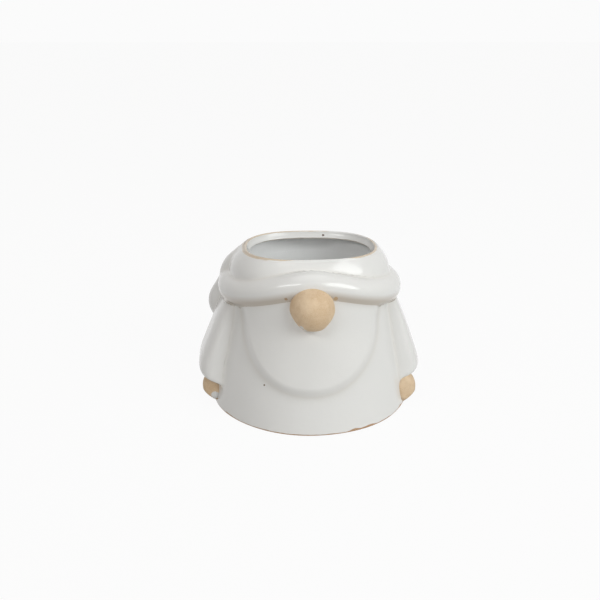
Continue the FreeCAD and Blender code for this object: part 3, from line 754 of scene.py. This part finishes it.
def sleeve(name, side):
    """Rings out over the collar, down to the cuff, then in across its underside."""
    place = around(SLEEVE_COLUMNS)
    reach_of = (np.abs(np.cos(place)) ** SLEEVE_SQUARE
                + np.abs(np.sin(place)) ** SLEEVE_SQUARE) ** (-1.0 / SLEEVE_SQUARE)
    unit_out, unit_back = reach_of * np.cos(place), reach_of * np.sin(place)
    levels = np.linspace(COLLAR_LEVEL - COLLAR_ROUND, CUFF_LEVEL + CUFF_ROUND, 90)
    stations = [(COLLAR_LEVEL, COLLAR_ROUND, hollow) for hollow in (0.97, 0.7, 0.4, 0.15)]
    stations += [(COLLAR_LEVEL - COLLAR_ROUND * (1 - np.sin(a)), COLLAR_ROUND * (1 - np.cos(a)), 0.0)
                 for a in np.linspace(np.pi / 2, 0.2, 6)]
    stations += [(level, 0.0, 0.0) for level in levels]
    stations += [(CUFF_LEVEL + CUFF_ROUND * (1 - np.sin(a)), CUFF_ROUND * (1 - np.cos(a)), 0.0)
                 for a in np.linspace(0.15, np.pi / 2, 10)]
    on_glaze = len(stations)
    stations += [(CUFF_LEVEL, CUFF_ROUND, hollow) for hollow in np.linspace(0.06, 0.97, 10)]
    out_axis, back_axis = side_axes(SLEEVE_TURN[side], side)
    rings, headings = [], []
    for level, inset, hollow in stations:
        half_thick, half_wide, reach = sleeve_oval(level, side)
        out = reach + (half_thick - inset) * (1.0 - hollow) * unit_out
        back = (half_wide - inset) * (1.0 - hollow) * unit_back
        slope_out = np.sign(unit_out) * np.abs(unit_out) ** (SLEEVE_SQUARE - 1) / half_thick
        slope_back = np.sign(unit_back) * np.abs(unit_back) ** (SLEEVE_SQUARE - 1) / half_wide
        size = np.hypot(slope_out, slope_back)
        fall = np.clip((level - SLANT_BELOW) / (COLLAR_LEVEL - SLANT_BELOW), 0, 1)
        slant = CUFF_RISE * np.clip((SLANT_BELOW - level) / (SLANT_BELOW - CUFF_LEVEL - CUFF_ROUND), 0, 1)
        ring = out_axis * out[:, None] + back_axis * back[:, None]
        hollow_by = CUFF_HOLLOW * min(hollow * 4.0, 1.0) if level < SLANT_BELOW else 0.0
        ring[:, 2] = level + slant * (out - CUFF_MIDDLE) - fall * collar_drop(back) + hollow_by
        rings.append(ring)
        headings.append(out_axis * (slope_out / size)[:, None] + back_axis * (slope_back / size)[:, None])
    rings, headings = np.stack(rings), np.stack(headings)
    rings[:on_glaze], pool = onto_skin(rings[:on_glaze], headings[:on_glaze], name)
    pool = np.vstack([pool, np.zeros((len(rings) - on_glaze, SLEEVE_COLUMNS))])
    return make_piece(name + "_glazed", worked_by_hand(seated(rings)), {"pool": pool})


left_sleeve = sleeve("left_sleeve", -1)
right_sleeve = sleeve("right_sleeve", 1)

# %% [markdown]
# ## Nose and hands
# Nose and hands are lumps of clay that were kept free of glaze. The nose is a ball that a thumb
# flattened below and at both lower sides. A hand is an egg with two flats. Both are drawn by rays
# from a middle point: each ray stops at the egg or at a flat, whichever comes first, with the
# corner between them softened.

# %% lumps of clay
def lump(middle, radii, axes, flats, soften=1.6, columns=112, rows=64):
    """An egg with half sizes `radii` along `axes`, cut by flats given as (heading, distance)."""
    lift = np.linspace(0.02, np.pi - 0.02, rows)[:, None]
    place = around(columns)[None]
    local = np.stack([np.sin(lift) * np.cos(place), np.sin(lift) * np.sin(place),
                      np.cos(lift) * np.ones_like(place)], axis=-1)
    reach = 1.0 / np.linalg.norm(local / np.array(radii), axis=-1)
    for heading, distance in flats:
        heading = np.array(heading) / np.linalg.norm(heading)
        facing = np.maximum(local @ heading, 0.05)
        reach = -soft_greater(-reach, -distance / facing, soften)
    return np.array(middle) + (local * reach[..., None]) @ np.array(axes)


# %% nose
NOSE_RADIUS = (nose_high[0] - nose_low[0]) / 2 + 0.5
NOSE_MIDDLE = (-1.1, nose_low[1] + NOSE_RADIUS - 1.0, (nose_low[2] + nose_high[2]) / 2 + 1.0)
NOSE_HALF_SIZES = (NOSE_RADIUS + 0.2, NOSE_RADIUS, NOSE_RADIUS + 0.9)
NOSE_FLATS = [((0.0, -0.25, -1.0), NOSE_RADIUS + 0.6), ((-0.8, -0.1, -0.6), NOSE_RADIUS),
              ((0.75, -0.1, -0.65), NOSE_RADIUS + 0.3)]
nose_rings = lump(NOSE_MIDDLE, NOSE_HALF_SIZES, np.eye(3), NOSE_FLATS, soften=4.0, columns=144, rows=96)
nose = make_piece("nose_clay", worked_by_hand(seated(nose_rings)))

# %% hands
HAND_REACH = 79.2
HAND_FLATS = [((0.75, -0.1, -0.8), 8.3), ((0.5, -0.9, 0.1), 7.9)]     # below, and towards the front


def hand(name, side, turn, level, radii):
    """A mitten below the cuff, at a bearing from the face and a level."""
    out, along = side_axes(turn, side)
    middle = out * HAND_REACH + np.array([0.0, 0.0, level])
    rings = lump(middle, radii, [out, along, (0.0, 0.0, 1.0)], HAND_FLATS)
    return make_piece(name, worked_by_hand(seated(rings)))


left_hand = hand("left_hand_clay", -1, radians(74.0), 12.9, (8.8, 9.8, 11.6))
right_hand = hand("right_hand_clay", 1, radians(72.0), 11.4, (8.5, 10.4, 12.4))

# %% [markdown]
# ## Finishes
# Two finishes cover the pot: a white gloss glaze and bare clay. The glaze is nearly even, so its
# life is in small things: it is creamier where it pools, breaks to tan where it is thin over an
# edge, has a few pinholes and bare dots, and stops short of the foot. Node groups put out masks for
# those, so that each material can mix them in at its own strength.

# %% helpers for node trees
def add_node(tree, kind, **settings):
    """A node of a kind, with its properties set by name and its sockets set by title."""
    node = tree.nodes.new(kind)
    for key, value in settings.items():
        if key in node.bl_rna.properties:
            setattr(node, key, value)
        else:
            node.inputs[key.replace("_", " ")].default_value = value
    return node


def join(tree, source, target):
    """Wire an output socket to an input socket."""
    tree.links.new(source, target)


def new_group(name, inputs, outputs):
    """An empty node group with its sockets; gives the tree and its two ends."""
    tree = bpy.data.node_groups.new(name, "ShaderNodeTree")
    for title, kind, value in inputs:
        socket = tree.interface.new_socket(title, in_out="INPUT", socket_type=kind)
        socket.default_value = value
    for title, kind in outputs:
        tree.interface.new_socket(title, in_out="OUTPUT", socket_type=kind)
    return tree, tree.nodes.new("NodeGroupInput"), tree.nodes.new("NodeGroupOutput")


def use_group(tree, group, **values):
    """Place a group in a material with its own values."""
    node = tree.nodes.new("ShaderNodeGroup")
    node.node_tree = group
    for title, value in values.items():
        node.inputs[title.replace("_", " ")].default_value = value
    return node


def calculate(tree, operation, first, second):
    """A Math node fed by sockets or plain numbers; gives its output socket."""
    node = add_node(tree, "ShaderNodeMath", operation=operation)
    for slot, value in enumerate((first, second)):
        if isinstance(value, (int, float)):
            node.inputs[slot].default_value = value
        else:
            join(tree, value, node.inputs[slot])
    return node.outputs[0]


def stretch(tree, value, low, high, to_low=0.0, to_high=1.0):
    """Map a value from one range to another, held at the ends and eased between them."""
    node = add_node(tree, "ShaderNodeMapRange", interpolation_type="SMOOTHSTEP")
    join(tree, value, node.inputs["Value"])
    for title, number in (("From Min", low), ("From Max", high), ("To Min", to_low), ("To Max", to_high)):
        node.inputs[title].default_value = number
    return node.outputs["Result"]


def blend_colour(tree, share, first, second):
    """Mix two colours by a socket's share; each colour is a socket or an (r, g, b)."""
    node = add_node(tree, "ShaderNodeMix", data_type="RGBA")
    for socket, value in ((node.inputs[0], share), (node.inputs[6], first), (node.inputs[7], second)):
        if isinstance(value, tuple):
            socket.default_value = (*value, 1.0)
        elif isinstance(value, (int, float)):
            socket.default_value = value
        else:
            join(tree, value, socket)
    return node.outputs[2]


def object_place(tree):
    """The point's own place on the pot, in metres."""
    return add_node(tree, "ShaderNodeTexCoord").outputs["Object"]


def noise(tree, scale, detail=2.0, roughness=0.5):
    """Noise over Object coordinates; gives its value socket."""
    node = add_node(tree, "ShaderNodeTexNoise", Scale=scale, Detail=detail, Roughness=roughness)
    join(tree, object_place(tree), node.inputs["Vector"])
    return node.outputs["Fac"]


# %% [markdown]
# ### Masks
# Pinholes are the middles of a few chosen cells of a Voronoi pattern. A ragged edge is a soft mask
# shifted by noise and then sharpened, so its border frays. A spot is a small ball round one place
# with a frayed border.

# %% group: pinholes
pinholes, ends_in, ends_out = new_group("pinholes", [("Cell Scale", "NodeSocketFloat", 70.0),
                                                     ("Share", "NodeSocketFloat", 0.05)],
                                        [("Pit", "NodeSocketFloat")])
cells = add_node(pinholes, "ShaderNodeTexVoronoi")
join(pinholes, object_place(pinholes), cells.inputs["Vector"])
join(pinholes, ends_in.outputs["Cell Scale"], cells.inputs["Scale"])
near = stretch(pinholes, cells.outputs["Distance"], 0.015, 0.035, 1.0, 0.0)
parts = add_node(pinholes, "ShaderNodeSeparateColor")
join(pinholes, cells.outputs["Color"], parts.inputs[0])
chosen = calculate(pinholes, "LESS_THAN", parts.outputs[0], ends_in.outputs["Share"])
join(pinholes, calculate(pinholes, "MULTIPLY", near, chosen), ends_out.inputs["Pit"])
print("pinholes:", len(pinholes.nodes), "nodes")

# %% group: ragged mask
ragged, ends_in, ends_out = new_group("ragged_edge", [("Mask", "NodeSocketFloat", 0.0),
                                                      ("Bite", "NodeSocketFloat", 0.5),
                                                      ("Grain Scale", "NodeSocketFloat", 300.0)],
                                      [("Mask", "NodeSocketFloat")])
grain = add_node(ragged, "ShaderNodeTexNoise", Detail=3.0)
join(ragged, object_place(ragged), grain.inputs["Vector"])
join(ragged, ends_in.outputs["Grain Scale"], grain.inputs["Scale"])
shift = calculate(ragged, "MULTIPLY", calculate(ragged, "SUBTRACT", grain.outputs["Fac"], 0.5),
                  ends_in.outputs["Bite"])
total = calculate(ragged, "ADD", ends_in.outputs["Mask"], shift)
join(ragged, stretch(ragged, total, 0.42, 0.58), ends_out.inputs["Mask"])
print("ragged edge:", len(ragged.nodes), "nodes")

# %% group: one spot
spot, ends_in, ends_out = new_group("spot", [("Centre", "NodeSocketVector", (0.0, 0.0, 0.0)),
                                             ("Radius", "NodeSocketFloat", 0.001),
                                             ("Bite", "NodeSocketFloat", 0.8)],
                                    [("Mask", "NodeSocketFloat")])
away = add_node(spot, "ShaderNodeVectorMath", operation="DISTANCE")
join(spot, object_place(spot), away.inputs[0])
join(spot, ends_in.outputs["Centre"], away.inputs[1])
share = calculate(spot, "DIVIDE", away.outputs["Value"], ends_in.outputs["Radius"])
shift = calculate(spot, "MULTIPLY", calculate(spot, "SUBTRACT", noise(spot, 600.0), 0.5),
                  ends_in.outputs["Bite"])
total = calculate(spot, "SUBTRACT", calculate(spot, "ADD", shift, 1.0), share)
join(spot, stretch(spot, total, 0.0, 0.3), ends_out.inputs["Mask"])
print("spot:", len(spot.nodes), "nodes")

# %% [markdown]
# ### The white glaze
# Its colour is built in layers, each laid over the last by a mask: clouds, pools, painted shade on
# the brim's underside, the inside painted lighter and a little bluer as painted light, the line under
# the lip that is partly a glaze break and partly painted shadow, the worn edge, pinholes, dots and
# the bare foot. The foot line climbs and falls a little, because the glaze was wiped off by
# hand. It is dull where clay shows, and its surface swells slowly, as a thick glaze does.

# %% layers of colour
WHITE = (0.80, 0.795, 0.775)
CLOUDY = (0.765, 0.765, 0.75)
POOLED = (0.745, 0.725, 0.68)
# painted shade: the darker brown laid on the brim's underside where it faces down
UNDERSIDE_PAINTED_SHADE = (0.50, 0.43, 0.35)
# painted light: the inside's glaze is painted lighter, and a little bluer, than the outside
INSIDE_PAINTED_LIGHTER = (0.91, 0.915, 0.91)
# partly a glaze break, partly painted shadow under the lip's edge
LIP_BREAK_AND_SHADOW = (0.40, 0.34, 0.28)
TAN = (0.60, 0.46, 0.30)
PIT_BROWN = (0.22, 0.16, 0.11)
RAW_FOOT = (0.46, 0.29, 0.17)
BARE_DOTS = (  # place and radius in metres, colour
    ((-0.0192, -0.0659, 0.1008), 0.0014, (0.42, 0.29, 0.18)),
    ((0.0156, -0.0656, 0.1008), 0.0019, (0.50, 0.35, 0.20)),
    ((-0.0354, -0.0645, 0.0339), 0.0008, (0.20, 0.14, 0.10)),
    ((0.0130, 0.0441, 0.1170), 0.0011, (0.16, 0.12, 0.10)))


def new_material(name, colour):
    """A material with its surface shader; gives the material, its tree and the shader."""
    material = bpy.data.materials.new(name)
    material.use_nodes = True
    tree = material.node_tree
    shader = tree.nodes["Principled BSDF"]
    shader.inputs["Base Color"].default_value = (*colour, 1.0)
    return material, tree, shader


def painted(tree, name):
    """A value painted on the points of the mesh, nought where a piece has none of that name."""
    return add_node(tree, "ShaderNodeAttribute", attribute_name=name).outputs["Fac"]


def frayed(tree, mask, bite, grain_scale):
    """A mask with a ragged border."""
    group = use_group(tree, ragged, Bite=bite, Grain_Scale=grain_scale)
    join(tree, mask, group.inputs["Mask"])
    return group.outputs["Mask"]


def dot(tree, centre, radius):
    """The mask of one spot."""
    return use_group(tree, spot, Centre=centre, Radius=radius).outputs["Mask"]


def layered(tree, colour, layers):
    """Lay colours over a first one, each by its mask times its strength."""
    for mask, strength, tint in layers:
        colour = blend_colour(tree, calculate(tree, "MULTIPLY", mask, strength), colour, tint)
    return colour


def bumped(tree, shader, relief, strength, distance):
    """Let a height tilt the surface."""
    bump = add_node(tree, "ShaderNodeBump", Strength=strength, Distance=distance)
    join(tree, relief, bump.inputs["Height"])
    join(tree, bump.outputs["Normal"], shader.inputs["Normal"])


print(f"glaze colours run from {WHITE} to {RAW_FOOT}, with {len(BARE_DOTS)} dots")

# %% white glaze
FOOT_CLIMB, FOOT_FROM, FOOT_TO = 0.0014, 0.0003, 0.0020     # metres above the floor
GLOSSY, CLAY_DULL = 0.13, 0.75                              # roughness of glaze and of bare clay


def foot_mask(tree):
    """One at the foot and nought a little above it, at a height that noise raises and lowers."""
    height = add_node(tree, "ShaderNodeSeparateXYZ")
    join(tree, object_place(tree), height.inputs[0])
    climb = calculate(tree, "MULTIPLY", stretch(tree, noise(tree, 38.0), 0.52, 0.72), -FOOT_CLIMB)
    level = calculate(tree, "ADD", height.outputs["Z"], climb)
    return frayed(tree, stretch(tree, level, FOOT_FROM, FOOT_TO, 1.0, 0.0), 0.9, 120.0)


def glaze(name):
    """White gloss: cream in the pools, tan on thin edges, brown bare clay at the foot."""
    material, tree, shader = new_material(name, WHITE)
    worn = frayed(tree, painted(tree, "edge"), 0.6, 110.0)
    pits = use_group(tree, pinholes, Cell_Scale=75.0, Share=0.035).outputs["Pit"]
    foot = foot_mask(tree)
    layers = [(stretch(tree, noise(tree, 28.0), 0.3, 0.7), 0.25, CLOUDY),
              (painted(tree, "pool"), 0.75, POOLED),
              # painted shade on the brim's underside
              (painted(tree, "under"), 0.8, UNDERSIDE_PAINTED_SHADE),
              # painted light: the inside painted lighter
              (painted(tree, "inside"), 1.0, INSIDE_PAINTED_LIGHTER),
              # the line under the lip: partly a glaze break, partly painted shadow
              (frayed(tree, painted(tree, "lip_break_and_shadow"), 0.5, 200.0), 0.7, LIP_BREAK_AND_SHADOW),
              (worn, 0.75, TAN),
              (pits, 0.7, PIT_BROWN)]
    layers += [(dot(tree, centre, radius), 1.0, tint) for centre, radius, tint in BARE_DOTS]
    layers += [(foot, 1.0, RAW_FOOT)]
    join(tree, layered(tree, WHITE, layers), shader.inputs["Base Color"])
    dull = calculate(tree, "MAXIMUM", foot, calculate(tree, "MULTIPLY", worn, 0.3))
    join(tree, stretch(tree, dull, 0.0, 1.0, GLOSSY, CLAY_DULL), shader.inputs["Roughness"])
    peel = calculate(tree, "MULTIPLY", noise(tree, 380.0, 1.0), 0.10)
    swell = calculate(tree, "ADD", noise(tree, 55.0), peel)
    relief = calculate(tree, "ADD", swell, calculate(tree, "MULTIPLY", pits, -0.6))
    bumped(tree, shader, relief, strength=0.6, distance=0.0006)
    return material


white_glaze = glaze("white_glaze_gloss")
print(f"{white_glaze.name}: {len(white_glaze.node_tree.nodes)} nodes")

# %% [markdown]
# ### Bare clay
# The nose and the hands are sandy clay: slow warm and pale patches, a fine pale grain and a few
# dark grits. Where a little glaze ran onto them, they are white and shiny.

# %% bare clay
CLAY = (0.70, 0.515, 0.325)
WARM_CLAY, PALE_CLAY, SANDY = (0.64, 0.455, 0.275), (0.755, 0.575, 0.385), (0.80, 0.65, 0.47)
GRIT_BROWN = (0.35, 0.22, 0.12)
STRAY_GLAZE = (  # place and radius in metres
    ((-0.0087, -0.0765, 0.0833), 0.0022), ((-0.0063, -0.0760, 0.0812), 0.0016),
    ((-0.0745, -0.0304, 0.0088), 0.0042))
SANDY_ROUGH, STRAY_ROUGH = 0.62, 0.15


def bare_clay(name):
    """Sandy clay with grain and grits, and white gloss where stray glaze lies."""
    material, tree, shader = new_material(name, CLAY)
    patches = stretch(tree, noise(tree, 90.0, 3.0, 0.6), 0.35, 0.7)
    grain = stretch(tree, noise(tree, 1500.0, 2.0, 0.7), 0.35, 0.65)
    grits = use_group(tree, pinholes, Cell_Scale=260.0, Share=0.05).outputs["Pit"]
    glazed = 0.0
    for centre, radius in STRAY_GLAZE:
        glazed = calculate(tree, "MAXIMUM", dot(tree, centre, radius), glazed)
    layers = [(patches, 1.0, PALE_CLAY), (grain, 0.35, SANDY), (grits, 0.5, GRIT_BROWN),
              (glazed, 1.0, WHITE)]
    join(tree, layered(tree, WARM_CLAY, layers), shader.inputs["Base Color"])
    join(tree, stretch(tree, glazed, 0.0, 1.0, SANDY_ROUGH, STRAY_ROUGH), shader.inputs["Roughness"])
    coarse = calculate(tree, "MULTIPLY", noise(tree, 140.0, 3.0), 1.5)
    relief = calculate(tree, "ADD", coarse, calculate(tree, "MULTIPLY", grain, 0.35))
    bumped(tree, shader, relief, strength=0.5, distance=0.0005)
    return material


sandy_clay = bare_clay("bare_clay_sandy")
print(f"{sandy_clay.name}: {len(sandy_clay.node_tree.nodes)} nodes")

# %% [markdown]
# ### Who wears what
# Each piece takes its finish, rides on the one body of the pot and stands for its own solid.

# %% dress the pieces
DRESS = [(robe, "robe_pot", white_glaze), (crown, "hat_crown", white_glaze),
         (brim, "hat_brim", white_glaze), (tail, "hat_tail", white_glaze),
         (beard, "beard", white_glaze), (nose, "nose", sandy_clay),
         (left_sleeve, "left_sleeve", white_glaze), (right_sleeve, "right_sleeve", white_glaze),
         (left_hand, "left_hand", sandy_clay), (right_hand, "right_hand", sandy_clay)]
for piece, node, material in DRESS:
    piece.data.materials.append(material)
    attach(piece, "root")
    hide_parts(node)
    print(f"{piece.name} stands for {node}")

# %% [markdown]
# ## Floor, light and camera
# The pot stands on a plain white floor. A large window lamp at the right gives most of the light
# and the broad gleams, a thin strip at the left draws a fine gleam on the brim, and a soft lamp
# overhead fills the inside. The floor takes the pot's shadow but looks almost white to the camera,
# because most of what is seen of it is its own even glow. The world behind is white to the camera
# and to reflections, and lights the pot only a little.

# %% floor
FLOOR_HALF, FLOOR_GREY, FLOOR_GLOW = 15.0, (0.62, 0.62, 0.62), 0.94


def seen_or_mirrored(tree):
    """One for rays from the camera and off a glossy surface, and nought for the others."""
    rays = add_node(tree, "ShaderNodeLightPath")
    return calculate(tree, "MAXIMUM", rays.outputs["Is Camera Ray"], rays.outputs["Is Glossy Ray"])


def mixed(tree, share, first, second, target):
    """Mix two shaders by a share and wire the result to a socket."""
    mix = add_node(tree, "ShaderNodeMixShader")
    join(tree, share, mix.inputs[0])
    join(tree, first.outputs[0], mix.inputs[1])
    join(tree, second.outputs[0], mix.inputs[2])
    join(tree, mix.outputs[0], target)


floor_mesh = bpy.data.meshes.new("floor")
floor_corners = [(FLOOR_HALF * x, FLOOR_HALF * y, 0.0) for x, y in ((-1, -1), (1, -1), (1, 1), (-1, 1))]
floor_mesh.from_pydata(floor_corners, [], [(0, 1, 2, 3)])
floor_plane = bpy.data.objects.new("floor", floor_mesh)
bpy.context.scene.collection.objects.link(floor_plane)
material, tree, shader = new_material("floor_white", FLOOR_GREY)
shader.inputs["Roughness"].default_value = 0.9
glow = add_node(tree, "ShaderNodeEmission")
mixed(tree, calculate(tree, "MULTIPLY", seen_or_mirrored(tree), FLOOR_GLOW), shader, glow,
      tree.nodes["Material Output"].inputs["Surface"])
floor_mesh.materials.append(material)
print(f"floor {2 * FLOOR_HALF:.0f} m square")

# %% world
world = bpy.data.worlds.new("studio")
bpy.context.scene.world = world
world.use_nodes = True
tree = world.node_tree
soft_light = tree.nodes["Background"]
soft_light.inputs["Color"].default_value = (1.0, 0.95, 0.90, 1.0)
soft_light.inputs["Strength"].default_value = 0.24
white_back = add_node(tree, "ShaderNodeBackground")
white_back.inputs["Color"].default_value = (0.965, 0.965, 0.965, 1.0)
white_back.inputs["Strength"].default_value = 1.0
mixed(tree, seen_or_mirrored(tree), soft_light, white_back, tree.nodes["World Output"].inputs["Surface"])
print("world light strength", round(soft_light.inputs["Strength"].default_value, 2))

# %% lamps
LAMP_AIM = (0.0, 0.0, 0.07)
LAMPS = (  # name, place and size in metres, watts, colour
    ("window", (0.85, -0.77, 0.68), (0.95, 0.6), 8.8, (0.97, 1.0, 1.0)),
    ("left_strip", (-0.64, -0.83, 0.83), (0.75, 0.12), 3.1, (1.0, 1.0, 1.0)),
    ("overhead", (0.0, -0.1, 1.3), (1.0, 1.0), 3.3, (1.0, 1.0, 1.0)))


def softbox(name, place, size, power, colour):
    """A rectangular lamp that looks from its place at the pot."""
    lamp = bpy.data.lights.new(name, "AREA")
    lamp.shape = "RECTANGLE"
    lamp.size, lamp.size_y = size
    lamp.energy = power
    lamp.color = colour
    holder = bpy.data.objects.new(name, lamp)
    holder.location = place
    direction = Vector(LAMP_AIM) - Vector(place)
    holder.rotation_euler = direction.to_track_quat("-Z", "Y").to_euler()
    bpy.context.scene.collection.objects.link(holder)
    print(f"{name}: {power} W, {direction.length:.2f} m away")


for settings in LAMPS:
    softbox(*settings)

# %% camera
camera = bpy.data.objects.new("camera", bpy.data.cameras.new("camera"))
camera.location = (-0.0242, -0.5545, 0.279)
camera.rotation_euler = (radians(69.9), 0.0, radians(-1.73))
camera.data.lens = 44.76
camera.data.sensor_width = 36.0
bpy.context.scene.collection.objects.link(camera)
bpy.context.scene.camera = camera
bpy.context.scene.view_settings.view_transform = "Standard"
print(f"camera {camera.location.length:.2f} m from the middle of the foot, lens {camera.data.lens:.1f} mm")
